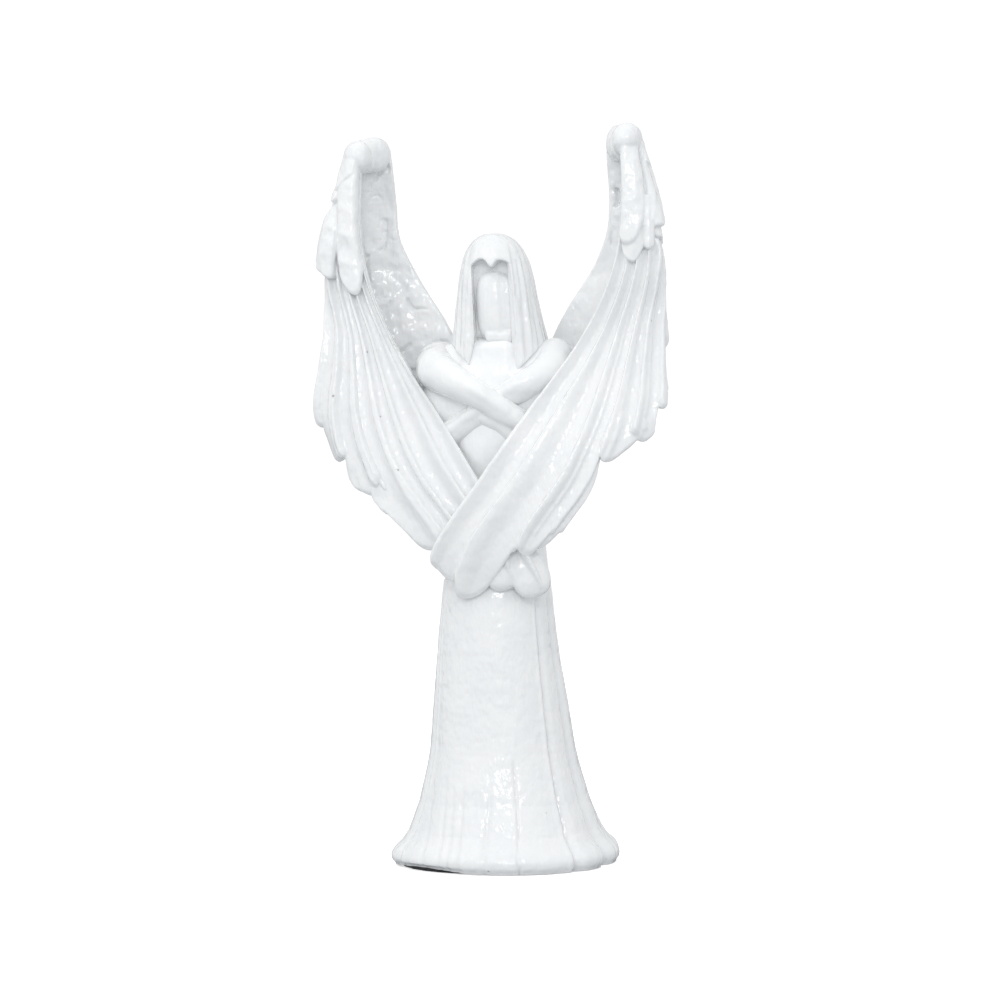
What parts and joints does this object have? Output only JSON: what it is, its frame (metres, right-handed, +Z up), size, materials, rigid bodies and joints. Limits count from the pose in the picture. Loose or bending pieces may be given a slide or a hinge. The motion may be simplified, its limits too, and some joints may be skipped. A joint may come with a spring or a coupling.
{
  "type": "angel figurine",
  "caption": "White enamelled resin angel standing in a flared pleated gown, hooded and faceless, arms crossed, with tall cupped wings that sweep down and cross at the hips.",
  "frame": {"origin": "on the table under the middle of the gown, at the underside of the felt pad", "axes": "+Z up through the head, the figure faces -Y, its own left side is +X"},
  "size_m": [0.149, 0.0892, 0.2997],
  "materials": {
    "enamel": "glossy cool-white brushed enamel over cast resin, slightly pitted",
    "steel": "plain cut steel dowel",
    "felt": "charcoal pressed felt"
  },
  "bodies": {
    "root": {"gown": "enamel", "felt_pad": "felt", "waist_dowel": "steel", "bodice": "enamel", "neck_dowel": "steel", "face": "enamel", "veil": "enamel", "right_arm": "enamel", "left_arm": "enamel", "left_wing_shell": "enamel", "left_primaries": "enamel", "left_secondaries": "enamel", "left_coverts": "enamel", "right_wing_shell": "enamel", "right_primaries": "enamel", "right_secondaries": "enamel", "right_coverts": "enamel"}
  },
  "joints": []
}
